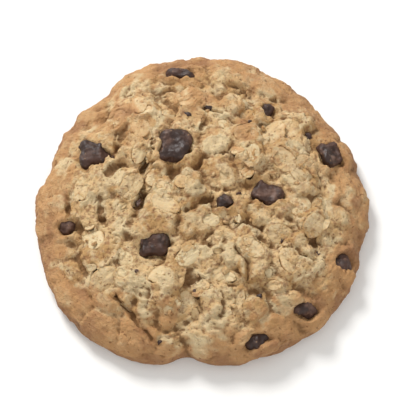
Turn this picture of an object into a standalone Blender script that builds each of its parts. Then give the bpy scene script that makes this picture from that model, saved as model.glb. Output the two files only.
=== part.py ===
"""An oatmeal cookie with dark chocolate chunks and drops, lying on its flat base.

Metres, +Z up. The origin is the middle of the base, on the surface that the cookie lies on. The dough is a sphere
drawn out over the cookie's half section, with rolled oat flakes joined to it, and is one closed solid. Each piece of
chocolate is a solid of its own, in a pocket of the dough.
"""

import math
import random

import bmesh
import bpy
import numpy as np
from mathutils import Matrix, Vector, noise
from mathutils.bvhtree import BVHTree

MM = 0.001
SEED = 13

# Driving dimensions
DIAMETER = 84 * MM
CENTRE_HEIGHT = 12.6 * MM
WIDEST_HEIGHT = 2.8 * MM  # the side is widest this far above the base
BASE_INSET = 2.0 * MM  # the base ends this far inside the widest line
TOP_FLATNESS = 2.6  # 2 is an ellipse; more keeps the top flat for longer before it turns down

# The outline, as shares of the radius and as lengths
OUTLINE_WAVES = ((2, 0.012, 70), (3, 0.022, -147), (5, 0.009, 20))  # waves round the edge, height, a crest's degrees
EDGE_CRAG_SIZE = 6 * MM
EDGE_CRAG_DEPTH = 1.3 * MM
NOTCHES = ((-96, 12 * MM, 2.3 * MM), (38, 7 * MM, 1.5 * MM), (163, 6 * MM, 1.3 * MM))  # degrees, width, depth

# Relief of the dough
SWELL_SIZE = 12 * MM
SWELL_DEPTH = 1.3 * MM
LUMP_SIZE = 9 * MM
LUMP_DEPTH = 2.2 * MM
LUMP_LEVEL = 0.6  # a lump's mean height, as a share of the depth
LUMP_SPREAD = 0.4  # and how far lumps differ from it
LUMP_DRAW = 3.7  # stretches the noise that sets each lump's height, so that neighbours differ
LUMP_ZERO = 0.5  # the share of the depth that lies under the smooth form
CREASE = 0.30  # how wide the crease between two lumps is, next to a lump
RIM_CALM = 0.6  # how much of the relief is gone at the rim, which bakes smoother
CALM_SPAN = (0.72, 0.95)  # the shares of the radius between which that sets in
FLAT_BELOW = 0.4 * MM  # no relief under this height, so that the base stays flat
FULL_ABOVE = 3.0 * MM

# Lumps that stand out of the top: place in radii from the middle, length and width in mm, turn in degrees, height in mm
BIG_LUMPS = (
    ((-0.62, 0.08), (6.5, 7.5), 0, 0.9),
    ((-0.47, 0.07), (6.0, 8.5), 4, 1.0),
    ((-0.24, 0.07), (6.5, 8.5), -6, 1.1),
    ((-0.07, 0.07), (6.0, 8.0), 5, 0.9),
    ((-0.19, -0.55), (15.0, 7.5), 58, 1.5),
    ((0.06, -0.65), (6.5, 7.5), 0, 1.2),
    ((-0.42, -0.50), (9.5, 6.5), -12, 0.9),
    ((-0.32, 0.55), (7.0, 12.0), 0, 0.9),
    ((-0.48, 0.58), (7.0, 11.0), -6, 0.6),
    ((-0.38, 0.84), (9.0, 8.0), 0, 0.7),
    ((0.28, 0.26), (8.0, 10.0), 10, 1.0),
    ((0.52, 0.32), (8.0, 10.0), -12, 0.9),
    ((0.64, -0.14), (9.0, 8.0), 20, 0.9),
    ((0.30, -0.42), (8.5, 11.0), -20, 1.1),
    ((0.56, -0.44), (10.0, 7.5), 15, 0.9),
    ((0.20, 0.64), (8.0, 7.0), 0, 0.8),
    ((0.62, 0.56), (8.0, 9.0), 40, 0.8),
)

# Faces: how densely the sphere's faces lie on the base, next to 1 on the top
CORE_SUBDIVISIONS = 5
BASE_DENSITY = 0.1
PROFILE_STEPS = 240

# Rolled oats
FLAKE_COUNT = 112
FLAKE_SIDES = 8
FLAKE_LENGTH = (5.5 * MM, 8.5 * MM)
FLAKE_WIDTH_SHARE = (0.62, 0.80)
FLAKE_THICKNESS = 1.2 * MM
FLAKE_TIP_DEGREES = 20
FLAKE_PROUD = 0.45 * MM  # how far the middle of a flake's upper face stands out of the dough
FLAKE_TOP_SHARE = 0.74  # a flake's upper face, next to its lower one
FLAKE_SHIFT = 0.1  # radians that a flake is shaken round the cookie from its even place
GOLDEN_ANGLE = math.pi * (3 - math.sqrt(5))

# Chocolate: place in radii from the middle, length, width and depth in mm, turn in degrees, how far it shows in mm
CHUNKS = {
    "upper_left": ((-0.66, 0.31), (8.4, 9.6, 5.5), 8, 1.4),
    "upper_middle": ((-0.15, 0.32), (9.0, 9.8, 6.0), -6, 1.1),
    "lower_middle": ((-0.26, -0.30), (9.0, 6.5, 5.5), 6, 0.9),
    "right_of_middle": ((0.40, 0.02), (9.0, 6.8, 6.0), -24, 1.2),
    "right_edge": ((0.80, 0.32), (6.2, 7.4, 4.5), 20, 1.0),
}
DROPS = {
    "lower_right": ((0.60, -0.66), (8.0, 5.0, 4.6), -14, 1.1),
    "low_edge": ((0.33, -0.88), (7.6, 4.6, 4.4), 8, 1.1),
    "right_rim": ((0.86, -0.38), (6.4, 6.2, 4.4), 60, 1.2),
    "top_edge": ((-0.12, 0.83), (8.2, 4.4, 4.2), -6, 1.1),
    "small_middle": ((0.14, -0.04), (5.0, 4.2, 3.6), 30, 0.9),
    "small_upper": ((0.42, 0.60), (5.2, 4.4, 3.8), 75, 1.0),
    "small_left": ((-0.80, -0.16), (5.0, 4.2, 3.6), 15, 0.9),
}
CHUNK_BEVEL = 0.14
CHUNK_TAPER = 0.82  # a chunk's upper face, next to its lower one
POCKET_GAP = 0.3 * MM  # round each piece of chocolate

# Joining
SEAT_REACH = 3.0 * MM  # the dough's slope under a piece is averaged over this distance
BASE_CLEARANCE = 0.5 * MM  # what is sunk in the dough stays this far above the base
MERGE = 0.005 * MM  # points closer than this are made one
BASE_FLAT_LIMIT = math.radians(0.5)

DOUGH_COLOUR = (0.46, 0.30, 0.16, 1.0)
DOUGH_ROUGHNESS = 0.85
CHOCOLATE_COLOUR = (0.045, 0.022, 0.012, 1.0)
CHOCOLATE_ROUGHNESS = 0.4


def smoothstep(low, high, value):
    part = min(max((value - low) / (high - low), 0.0), 1.0)
    return part * part * (3 - 2 * part)


def half_section():
    """The section from the middle of the top to the middle of the base: radius share, height, outward normal, and
    the share of the whole surface, with the base counted thinner, that lies above each point."""
    turn = np.linspace(0, math.pi / 2, PROFILE_STEPS)
    top_radius = np.sin(turn) ** (2 / TOP_FLATNESS)
    top_height = WIDEST_HEIGHT + (CENTRE_HEIGHT - WIDEST_HEIGHT) * np.cos(turn)
    inset = BASE_INSET / (DIAMETER / 2)
    under_radius = 1 - inset * (1 - np.cos(turn[1:]))
    under_height = WIDEST_HEIGHT * (1 - np.sin(turn[1:]))
    base_radius = np.linspace(1 - inset, 0, PROFILE_STEPS)[1:]
    radius = np.concatenate((top_radius, under_radius, base_radius))
    height = np.concatenate((top_height, under_height, np.zeros(len(base_radius))))

    along_r = np.gradient(radius * DIAMETER / 2)
    along_z = np.gradient(height)
    length = np.hypot(along_r, along_z)
    normal_r = -along_z / length
    normal_z = along_r / length

    density = np.where(np.arange(len(radius)) < len(radius) - len(base_radius), 1.0, BASE_DENSITY)
    step = np.hypot(np.diff(radius * DIAMETER / 2), np.diff(height))
    strip = step * (radius[1:] + radius[:-1]) / 2 * (density[1:] + density[:-1]) / 2
    share = np.concatenate(([0.0], np.cumsum(strip)))
    return radius, height, normal_r, normal_z, share / share[-1]


SECTION_RADIUS, SECTION_HEIGHT, SECTION_NORMAL_R, SECTION_NORMAL_Z, SECTION_SHARE = half_section()
WIDEST_SHARE = SECTION_SHARE[PROFILE_STEPS - 1]


def outline_radius(angle):
    """The distance from the middle to the edge in one direction."""
    radius = DIAMETER / 2
    for waves, height, crest in OUTLINE_WAVES:
        radius += DIAMETER / 2 * height * math.cos(waves * (angle - math.radians(crest)))
    around = Vector((math.cos(angle), math.sin(angle), 0)) * (DIAMETER / 2 / EDGE_CRAG_SIZE)
    radius += EDGE_CRAG_DEPTH * noise.noise(around)
    for degrees, width, depth in NOTCHES:
        away = math.remainder(angle - math.radians(degrees), 2 * math.pi) * DIAMETER / 2
        radius -= depth * math.exp(-((2 * away / width) ** 2))
    return radius


def big_lump(point):
    """The height of the big lump at a point of the top, and how much of the point it takes up."""
    height = 0.0
    taken = 0.0
    for (x, y), (length, width), turn, rise in BIG_LUMPS:
        away = point.xy - Vector((x, y)) * DIAMETER / 2
        along = away.dot(Vector((math.cos(math.radians(turn)), math.sin(math.radians(turn)))))
        across = away.dot(Vector((-math.sin(math.radians(turn)), math.cos(math.radians(turn)))))
        out = math.hypot(2 * along / (length * MM), 2 * across / (width * MM))
        if out < 2:
            cover = math.exp(-(out**4))
            height = max(height, rise * MM * cover)
            taken = max(taken, cover)
    return height, taken


def relief(point, radius_share):
    """How far the dough stands out at a point of the smooth cookie: swells, big lumps, and lumps with creases."""
    swell = SWELL_DEPTH * noise.noise(point / SWELL_SIZE)
    distances, middles = noise.voronoi(point / LUMP_SIZE)
    lump_height = LUMP_LEVEL + LUMP_SPREAD * noise.noise(middles[0] * LUMP_DRAW)
    lump = LUMP_DEPTH * (lump_height * smoothstep(0, CREASE, distances[1] - distances[0]) - LUMP_ZERO)
    big, taken = big_lump(point)
    calm = 1 - RIM_CALM * smoothstep(*CALM_SPAN, radius_share)
    return (swell + lump * (1 - taken) + big) * calm * smoothstep(FLAT_BELOW, FULL_ABOVE, point.z)


def dough_point(share, angle):
    """The point of the dough's surface that has this share of the surface above it, in one direction."""
    radius_share = float(np.interp(share, SECTION_SHARE, SECTION_RADIUS))
    height = float(np.interp(share, SECTION_SHARE, SECTION_HEIGHT))
    out = float(np.interp(share, SECTION_SHARE, SECTION_NORMAL_R))
    up = float(np.interp(share, SECTION_SHARE, SECTION_NORMAL_Z))
    radius = radius_share * outline_radius(angle)
    around = Vector((math.cos(angle), math.sin(angle), 0))
    smooth = around * radius + Vector((0, 0, height))
    normal = around * out + Vector((0, 0, up))
    return smooth + normal * relief(smooth, radius_share)


def share_at(radius_share):
    """The share of the surface above the ring of the upper side at this share of the radius."""
    return float(np.interp(radius_share, SECTION_RADIUS[:PROFILE_STEPS], SECTION_SHARE[:PROFILE_STEPS]))


def new_collection(name):
    collection = bpy.data.collections.new(name)
    bpy.context.scene.collection.children.link(collection)
    return collection


def new_object(name, builder, collection, placed=None):
    mesh = bpy.data.meshes.new(name)
    builder.to_mesh(mesh)
    builder.free()
    piece = bpy.data.objects.new(name, mesh)
    if placed is not None:
        piece.matrix_world = placed
    collection.objects.link(piece)
    return piece


def new_material(name, colour, roughness):
    material = bpy.data.materials.new(name)
    material.use_nodes = True
    shader = material.node_tree.nodes["Principled BSDF"]
    shader.inputs["Base Color"].default_value = colour
    shader.inputs["Roughness"].default_value = roughness
    shader.inputs["Metallic"].default_value = 0.0
    return material


def bare_dough():
    """The baked dough alone, with its flat base."""
    builder = bmesh.new()
    bmesh.ops.create_icosphere(builder, subdivisions=CORE_SUBDIVISIONS, radius=1.0)
    for vertex in builder.verts:
        share = (1 - vertex.co.z) / 2
        angle = math.atan2(vertex.co.y, vertex.co.x)
        vertex.co = dough_point(share, angle)
    builder.normal_update()
    return builder


def seat(tree, share, angle):
    """Where a piece sits on the dough, and the dough's mean slope there."""
    place = dough_point(share, angle)
    normal = Vector((0, 0, 0))
    for _, face_normal, _, _ in tree.find_nearest_range(place, SEAT_REACH):
        normal += face_normal
    return place, normal.normalized()


def laid(place, normal, turn, tip=0.0, tip_towards=0.0):
    """The matrix that lays a piece on the dough, turned about the slope's normal and tipped to one side."""
    slope = Vector((0, 0, 1)).rotation_difference(normal).to_matrix().to_4x4()
    tipped = Matrix.Rotation(tip, 4, Vector((math.cos(tip_towards), math.sin(tip_towards), 0)))
    return Matrix.Translation(place) @ slope @ tipped @ Matrix.Rotation(turn, 4, "Z")


def chunk(size):
    """A broken chunk: a block with blunt edges and a smaller upper face."""
    builder = bmesh.new()
    bmesh.ops.create_cube(builder, size=1.0)
    bmesh.ops.bevel(builder, geom=builder.edges[:], offset=CHUNK_BEVEL, segments=1, affect="EDGES")
    for vertex in builder.verts:
        if vertex.co.z > 0:
            vertex.co.xy *= CHUNK_TAPER
    bmesh.ops.scale(builder, vec=size, verts=builder.verts)
    return builder


def drop(size):
    """A drop that softened in the oven: a flattened ball."""
    builder = bmesh.new()
    bmesh.ops.create_icosphere(builder, subdivisions=2, radius=0.5)
    bmesh.ops.scale(builder, vec=size, verts=builder.verts)
    return builder


def chocolate(tree, pieces, pockets, material):
    """Every piece of chocolate with the cutter for its pocket. Gives each one's place and half length."""
    taken = []
    for kind, make, table in (("chunk", chunk, CHUNKS), ("drop", drop, DROPS)):
        for name, ((x, y), size_mm, turn, shows_mm) in table.items():
            size = Vector(size_mm) * MM
            place, normal = seat(tree, share_at(math.hypot(x, y)), math.atan2(y, x))
            middle = place + normal * (shows_mm * MM - size.z / 2)
            placed = laid(middle, normal, math.radians(turn))
            piece = new_object(f"{kind}_{name}", make(size), pieces, placed)
            piece.data.materials.append(material)
            gap = Vector((2, 2, 2)) * POCKET_GAP
            new_object(f"pocket_{name}", make(size + gap), pockets, placed)
            taken.append((place, max(size.x, size.y) / 2))
    return taken


def flake(length, width):
    """A rolled oat flake: a low oval block whose upper face is smaller than its lower one."""
    builder = bmesh.new()
    bmesh.ops.create_cone(
        builder, cap_ends=True, segments=FLAKE_SIDES, radius1=0.5, radius2=0.5 * FLAKE_TOP_SHARE, depth=1.0
    )
    bmesh.ops.scale(builder, vec=(length, width, FLAKE_THICKNESS), verts=builder.verts)
    return builder


def oat_flakes(tree, taken, collection):
    """Flakes over the top and the side, spread evenly by the golden angle, clear of the chocolate and the base."""
    draw = random.Random(SEED)
    for index in range(FLAKE_COUNT):
        share = (index + 0.5) / FLAKE_COUNT * WIDEST_SHARE
        angle = index * GOLDEN_ANGLE + draw.uniform(-FLAKE_SHIFT, FLAKE_SHIFT)
        length = draw.uniform(*FLAKE_LENGTH)
        width = length * draw.uniform(*FLAKE_WIDTH_SHARE)
        turn = draw.uniform(0, math.pi)
        tip = math.radians(FLAKE_TIP_DEGREES) * draw.uniform(-1, 1)
        tip_towards = draw.uniform(0, 2 * math.pi)
        place, normal = seat(tree, share, angle)
        if any((place - other).length < half + length / 2 + POCKET_GAP for other, half in taken):
            continue
        builder = flake(length, width)
        middle = place + normal * (FLAKE_PROUD - FLAKE_THICKNESS / 2)
        builder.transform(laid(middle, normal, turn, tip, tip_towards))
        if min(vertex.co.z for vertex in builder.verts) > BASE_CLEARANCE:
            new_object(f"flake_{index}", builder, collection)
        else:
            builder.free()


def combine(body, operation, others):
    """One Boolean of the body and a whole collection, applied, after which the collection is gone."""
    modifier = body.modifiers.new("combined", "BOOLEAN")
    modifier.operation = operation
    modifier.operand_type = "COLLECTION"
    modifier.collection = others
    modifier.solver = "EXACT"
    combined = bpy.data.meshes.new_from_object(body.evaluated_get(bpy.context.evaluated_depsgraph_get()))
    body.modifiers.clear()
    body.data = combined
    for other in list(others.objects):
        bpy.data.objects.remove(other)
    bpy.data.collections.remove(others)


def shells(builder):
    """The connected shells of a mesh, as lists of faces."""
    left = set(builder.faces)
    found = []
    while left:
        shell = [left.pop()]
        for face in shell:
            near = {other for edge in face.edges for other in edge.link_faces} & left
            left -= near
            shell.extend(near)
        found.append(shell)
    return found


def shell_volume(faces):
    """The volume inside a shell, negative where it faces inwards."""
    total = 0.0
    for face in faces:
        corners = [vertex.co for vertex in face.verts]
        for second, third in zip(corners[1:], corners[2:]):
            total += corners[0].dot(second.cross(third)) / 6
    return total


def tidy(body):
    """Keeps the outer shell alone, which fills any sealed hollow and drops any scrap, and makes the base one face."""
    builder = bmesh.new()
    builder.from_mesh(body.data)
    bmesh.ops.triangulate(builder, faces=builder.faces)
    bmesh.ops.remove_doubles(builder, verts=builder.verts, dist=MERGE)
    bmesh.ops.dissolve_degenerate(builder, dist=MERGE, edges=builder.edges)
    found = shells(builder)
    outer = max(found, key=shell_volume)
    scrap = [face for shell in found if shell is not outer for face in shell]
    bmesh.ops.delete(builder, geom=scrap, context="FACES")
    base_edges = [
        edge for edge in builder.edges
        if edge.is_manifold and all(vertex.co.z == 0 for face in edge.link_faces for vertex in face.verts)
    ]
    bmesh.ops.dissolve_limit(
        builder, angle_limit=BASE_FLAT_LIMIT, use_dissolve_boundaries=False, verts=[], edges=base_edges
    )
    bmesh.ops.triangulate(builder, faces=builder.faces)
    builder.to_mesh(body.data)
    builder.free()


def stand_on_origin(body, pieces):
    """Hangs every piece on one empty, and moves that so that the origin is under the middle of the body's box."""
    middle = sum((Vector(corner) for corner in body.bound_box), Vector()) / len(body.bound_box)
    holder = bpy.data.objects.new("oatmeal_chocolate_cookie", None)
    pieces.objects.link(holder)
    for piece in pieces.objects:
        if piece is not holder:
            piece.parent = holder
    holder.location = (-middle.x, -middle.y, 0)


def main():
    for old in list(bpy.data.objects):
        bpy.data.objects.remove(old)
    pieces = new_collection("oatmeal_chocolate_cookie")
    flakes = new_collection("flakes")
    pockets = new_collection("pockets")

    builder = bare_dough()
    tree = BVHTree.FromBMesh(builder)
    body = new_object("baked_oat_dough", builder, pieces)
    dark_chocolate = new_material("dark chocolate", CHOCOLATE_COLOUR, CHOCOLATE_ROUGHNESS)
    taken = chocolate(tree, pieces, pockets, dark_chocolate)
    oat_flakes(tree, taken, flakes)
    combine(body, "UNION", flakes)
    combine(body, "DIFFERENCE", pockets)
    tidy(body)
    body.data.materials.clear()
    body.data.materials.append(new_material("baked oat dough", DOUGH_COLOUR, DOUGH_ROUGHNESS))
    stand_on_origin(body, pieces)


main()
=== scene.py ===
"""The looks of an oatmeal chocolate cookie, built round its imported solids.

The dough is made again by the rule that the solids follow, in a finer mesh, with knobs, gaps, pits, cracks,
grain and oats under its skin. Loose oats, crumbs and chocolate lie on and in it as meshes of their own.
Lengths are in metres, in the solids' frame.
"""

import math
import random
from collections import namedtuple

import bmesh
import bpy
import numpy as np
from mathutils import Matrix, Vector, noise
from mathutils.bvhtree import BVHTree
from mathutils.kdtree import KDTree


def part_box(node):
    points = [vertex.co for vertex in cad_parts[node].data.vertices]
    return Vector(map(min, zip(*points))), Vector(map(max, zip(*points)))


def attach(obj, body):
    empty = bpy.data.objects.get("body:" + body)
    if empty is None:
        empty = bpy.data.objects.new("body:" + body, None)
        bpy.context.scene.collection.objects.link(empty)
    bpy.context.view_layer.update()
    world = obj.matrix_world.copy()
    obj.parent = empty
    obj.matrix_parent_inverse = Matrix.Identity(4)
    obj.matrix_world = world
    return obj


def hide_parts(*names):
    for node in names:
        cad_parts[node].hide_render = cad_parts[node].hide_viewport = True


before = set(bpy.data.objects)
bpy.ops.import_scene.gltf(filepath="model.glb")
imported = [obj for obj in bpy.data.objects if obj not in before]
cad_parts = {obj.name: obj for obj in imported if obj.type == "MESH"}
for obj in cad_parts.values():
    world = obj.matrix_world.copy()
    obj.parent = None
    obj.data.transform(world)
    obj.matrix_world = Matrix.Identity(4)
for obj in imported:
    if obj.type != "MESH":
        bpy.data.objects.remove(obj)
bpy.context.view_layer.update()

MM = 0.001
SEED = 13  # of the flakes that the solids have
OAT_SEED, CRUMB_SEED, BURIED_SEED = SEED + 1, SEED + 2, SEED + 5
BED_SEED, LOOSE_SEED, CHIP_SEED = SEED + 7, SEED + 8, SEED + 9

# The dough's form, as the solids have it
DIAMETER = 84 * MM
CENTRE_HEIGHT = 12.6 * MM
WIDEST_HEIGHT = 2.8 * MM
BASE_INSET = 2.0 * MM
TOP_FLATNESS = 2.6
OUTLINE_WAVES = ((2, 0.012, 70), (3, 0.022, -147), (5, 0.009, 20))
EDGE_CRAG_SIZE = 6 * MM
EDGE_CRAG_DEPTH = 1.3 * MM
NOTCHES = ((-96, 12 * MM, 2.3 * MM), (38, 7 * MM, 1.5 * MM), (163, 6 * MM, 1.3 * MM))
SWELL_SIZE = 12 * MM
SWELL_DEPTH = 1.3 * MM
LUMP_SIZE = 9 * MM
LUMP_DEPTH = 2.2 * MM
LUMP_LEVEL = 0.6
LUMP_SPREAD = 0.4
LUMP_DRAW = 3.7
LUMP_ZERO = 0.5
CREASE = 0.30
RIM_CALM = 0.6
CALM_SPAN = (0.72, 0.95)
FLAT_BELOW = 0.4 * MM
FULL_ABOVE = 3.0 * MM
BIG_LUMPS = (
    ((-0.62, 0.08), (6.5, 7.5), 0, 0.9),
    ((-0.47, 0.07), (6.0, 8.5), 4, 1.0),
    ((-0.24, 0.07), (6.5, 8.5), -6, 1.1),
    ((-0.07, 0.07), (6.0, 8.0), 5, 0.9),
    ((-0.19, -0.55), (15.0, 7.5), 58, 1.5),
    ((0.06, -0.65), (6.5, 7.5), 0, 1.2),
    ((-0.42, -0.50), (9.5, 6.5), -12, 0.9),
    ((-0.32, 0.55), (7.0, 12.0), 0, 0.9),
    ((-0.48, 0.58), (7.0, 11.0), -6, 0.6),
    ((-0.38, 0.84), (9.0, 8.0), 0, 0.7),
    ((0.28, 0.26), (8.0, 10.0), 10, 1.0),
    ((0.52, 0.32), (8.0, 10.0), -12, 0.9),
    ((0.64, -0.14), (9.0, 8.0), 20, 0.9),
    ((0.30, -0.42), (8.5, 11.0), -20, 1.1),
    ((0.56, -0.44), (10.0, 7.5), 15, 0.9),
    ((0.20, 0.64), (8.0, 7.0), 0, 0.8),
    ((0.62, 0.56), (8.0, 9.0), 40, 0.8),
)
BIG_LUMP_STEEPNESS = 4
BIG_LUMP_REACH = 2
BASE_DENSITY = 0.1
PROFILE_STEPS = 240
CORE_SUBDIVISIONS = 5
SEAT_REACH = 3.0 * MM
BASE_CLEARANCE = 0.5 * MM
GOLDEN_ANGLE = math.pi * (3 - math.sqrt(5))

# The flakes that the solids have, in the same draw
FLAKE_COUNT = 112
FLAKE_LENGTH = (5.5 * MM, 8.5 * MM)
FLAKE_WIDTH_SHARE = (0.62, 0.80)
FLAKE_TIP_DEGREES = 20
FLAKE_PROUD = 0.45 * MM
FLAKE_SHIFT = 0.1
FLAKE_OFF_CHOCOLATE = 0.5

# Chocolate, as the solids have it: place in radii, length, width and depth in mm, turn in degrees, and how
# far it shows in mm. Then where the dough laps over it: degrees in the piece's own plan, and how far out of
# its middle that starts.
CHOCOLATE = {
    "chunk_upper_left": ((-0.66, 0.31), (8.4, 9.6, 5.5), 8, 1.4, ((44, 0.36), (-80, 0.86))),
    "chunk_upper_middle": ((-0.15, 0.32), (9.0, 9.8, 6.0), -6, 1.1, ((205, 0.72), (-42, 0.68))),
    "chunk_lower_middle": ((-0.26, -0.30), (9.0, 6.5, 5.5), 6, 0.9, ((120, 0.62), (-20, 0.85))),
    "chunk_right_of_middle": ((0.40, 0.02), (9.0, 6.8, 6.0), -24, 1.2, ((-60, 0.60), (150, 0.80))),
    "chunk_right_edge": ((0.80, 0.32), (6.2, 7.4, 4.5), 20, 1.0, ((10, 0.55), (200, 0.85))),
    "drop_lower_right": ((0.60, -0.66), (8.0, 5.0, 4.6), -14, 1.1, ((110, 0.42), (-40, 0.70))),
    "drop_low_edge": ((0.33, -0.88), (7.6, 4.6, 4.4), 8, 1.1, ((-70, 0.15), (150, 0.70))),
    "drop_right_rim": ((0.86, -0.38), (6.4, 6.2, 4.4), 60, 1.2, ((200, 0.30), (60, 0.75))),
    "drop_top_edge": ((-0.12, 0.83), (8.2, 4.4, 4.2), -6, 1.1, ((-100, 0.45), (80, 0.90))),
    "drop_small_middle": ((0.14, -0.04), (5.0, 4.2, 3.6), 30, 0.9, ((220, 0.55), (20, 0.90))),
    "drop_small_upper": ((0.42, 0.60), (5.2, 4.4, 3.8), 75, 1.0, ((-30, 0.50), (130, 0.90))),
    "drop_small_left": ((-0.80, -0.16), (5.0, 4.2, 3.6), 15, 0.9, ((90, 0.50), (-90, 0.90))),
}

# The fine dough
DOUGH_CUTS = 122  # of each side of the cube that is blown up into the dough, for faces about 0.35 mm wide
WARP_SIZE = 5.0 * MM
WARP_DEPTH = 0.35  # of a cell, so that knobs and pits aren't round
WARP_STARTS = ((0.0, 0.0, 0.0), (31.4, 17.2, 5.9), (9.6, 43.8, 27.1))  # where each axis reads the noise
KNOB_SIZE = 4.0 * MM
KNOB_DEPTH = 0.5 * MM
KNOB_LEVEL = 0.45
GRAIN_SIZE = 1.2 * MM
GRAIN_DEPTH = 0.42 * MM
GRAIN_LAYERS = (0.6, 2.1, 3)  # how rough, how much finer each layer is, and how many layers
STRAY_SIZE = 1.8 * MM  # of the noise that makes gaps stray
BROAD_STRAY_SIZE = 4.5 * MM
BROAD_STRAY_START = (3, 9, 4)
GAP_WIDTH = 0.13  # of a lump: the gap along the bottom of the crease between two lumps
GAP_WANDER = 0.10  # how far the gap strays from the crease
GAP_DEPTH = 1.2 * MM
GAP_RUN = 6 * MM  # gaps and moats close again after about this length
GAP_RUN_START = (7, 3, 1)
GAP_RUN_SPAN = (-0.3, 0.3)
MOAT_AT = 0.30  # the gap round a big lump is where the lump has sunk to this share of its height
MOAT_LEAST = 0.001  # of the lump's height; beyond that there is no gap
MOAT_WIDTH = 0.22
MOAT_WANDER = (0.3, 0.6)  # by the fine stray noise and by the broad one
MOAT_DEPTH = 1.4 * MM
PIT_SIZE = 4.2 * MM
PIT_DEPTH = 1.0 * MM
PIT_WARP = 2  # times the warp of the knobs
PIT_DRAW = 5.3
PIT_DRAWN = (0.05, 0.15)
PIT_EDGE = (0.02, 0.17)
CRACK_WOBBLE_SIZE = 1.6 * MM
CRACK_WOBBLE = 0.35 * MM
CRACK_SIDES = (0.25, 0.75)  # of its width: where a crack's sides start and end
KNOBS_LOST, GAPS_LOST, PITS_LOST, GRAIN_LOST = 0.35, 0.8, 0.4, 0.5  # how much of each browning takes
FILM_ROUNDS = 1  # of evening out: the film of dough over the oats softens their edges
LIP_ROUNDS = 3  # and the dough's lips round the chocolate
HOLLOW_ROUNDS = (10, 90)  # of evening out, for the levels that narrow and wide hollows are measured from
HOLLOW_DEPTH = (0.30 * MM, 0.90 * MM)

# Browning: the rim in a band of uneven width, and patches of the top by place in radii, length and width in
# mm, and how brown
RIM_SPAN = (0.74, 0.93)
RIM_WANDER = 0.12
RIM_WANDER_SIZE = 9 * MM
RIM_FRAY = 0.07
BROWNING_FRAY_SIZE = 2.5 * MM
PATCH_EDGE = (0.5, 1.2)
TOASTED_PATCHES = (
    ((-0.49, 0.58), (9.0, 14.0), 0.85),
    ((-0.77, 0.54), (10.0, 16.0), 0.75),
    ((-0.03, 0.68), (13.0, 9.0), 0.75),
    ((-0.84, 0.16), (8.0, 16.0), 0.75),
    ((-0.58, -0.66), (11.0, 9.0), 0.75),
    ((0.60, 0.66), (12.0, 9.0), 0.75),
    ((0.84, 0.04), (8.0, 14.0), 0.75),
    ((0.44, -0.72), (14.0, 7.0), 0.75),
    ((-0.20, -0.72), (8.0, 6.0), 0.75),
    ((0.24, 0.40), (7.0, 9.0), 0.75),
    ((-0.25, 0.55), (56.0, 30.0), 0.40),
    ((0.45, 0.20), (30.0, 24.0), 0.28),
)
UNDERSIDE_HEIGHT = (0.4 * MM, 2.0 * MM)
SCORCH_HEIGHT = (0.5 * MM, 6.0 * MM)  # the side is darker the nearer it is to the baking sheet
SCORCH = 0.7

# Scattered in the scene alone: how many, seed, lengths, how proud, tip in degrees, and how near they come to
# the middle of a piece of chocolate, as a share of its larger side
SMALL_FLAKES = (95, SEED + 3, (2.6 * MM, 5.4 * MM), (0.05 * MM, 0.4 * MM), 30, 0.42)
BURIED_FLAKES = (380, SEED + 4, (3.8 * MM, 7.8 * MM), (-0.30 * MM, 0.5 * MM), 24, 0.35)
SPECKS = (150, SEED + 6, (0.6 * MM, 1.8 * MM), (0.0, 0.25 * MM), 40, 0.48)
SCATTER_SHAKE = (0.1, 0.9)  # of each one's own share of the surface
SCATTER_REACH = 1.02  # of the surface above the widest ring
SCATTER_SHIFT = 0.35  # radians
SCATTER_WIDTH_SHARE = (0.55, 0.85)
LOOSE_WITHIN = 0.78  # flakes that lie loose on the dough do so within this share of the radius
LOOSE_SHARE = 0.62  # of the solids' flakes there; the others are under the dough's skin

# Flakes under the dough's skin, which lifts over them and is paler there
BURIED_STRENGTH = (0.2, 1.0)
BURIED_CUP = (-0.3, 0.5)
BURIED_CUP_DEPTH = 0.35 * MM
BURIED_LOBES = ((3, 0.06), (7, 0.04))
BURIED_GROOVE = (0.35 * MM, 0.16 * MM)  # width and depth
BURIED_EDGE = (0.9, 1.08)
BURIED_MOST = 1.2 * MM
BURIED_REACH = 1.35
PALER_WHERE_RAISED = (0.02 * MM, 0.2 * MM)
PALER_EDGE = (0.8, 1.0)

# Cracks that the photo shows: points in radii from the middle, width and depth
CRACKS = (
    (((-0.34, 0.30), (-0.35, 0.18), (-0.34, 0.08), (-0.37, -0.05)), 2.3 * MM, 2.0 * MM),
    (((-0.50, -0.60), (-0.42, -0.70), (-0.34, -0.79), (-0.28, -0.86)), 0.9 * MM, 1.6 * MM),
    (((-0.02, -0.56), (-0.03, -0.63), (-0.04, -0.69)), 0.9 * MM, 1.3 * MM),
    (((-0.61, -0.42), (-0.58, -0.52)), 1.0 * MM, 1.4 * MM),
    (((0.02, 0.60), (0.12, 0.55)), 0.9 * MM, 1.2 * MM),
    (((0.20, -0.32), (0.27, -0.42), (0.26, -0.52)), 1.0 * MM, 1.4 * MM),
    (((0.52, -0.30), (0.62, -0.36)), 1.0 * MM, 1.3 * MM),
)

# Loose flakes
FLAKE_AROUND = 28
FLAKE_RINGS = 12
FLAKE_THICKNESS = 0.75 * MM
FLAKE_THICKNESS_SHARE = (0.75, 1.15)
FLAKE_BEND = 0.15  # of the half length
FLAKE_CURL = (-0.30, 0.25)  # of the half width
FLAKE_TWIST = 0.18
FLAKE_EGG = 0.18  # how much wider one end is
FLAKE_SKEW = 0.05
FLAKE_SPLIT = (0.16, 0.16)  # the notch that rolling leaves in the edge: width in radians, and depth
FLAKE_FULLNESS = (0.8, 0.7)  # of its plan and of its edge
FLAKE_GROOVE = (0.3 * MM, 0.15 * MM)  # width and depth
FLAKE_RAGGED = (2.2, 0.09)  # how fine and how deep the unevenness of its edge is
FLAKE_SKIN = (1.3 * MM, 0.16 * MM)  # size and depth of the unevenness of its faces
FLAKE_SKIN_STRETCH = 1.8

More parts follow.
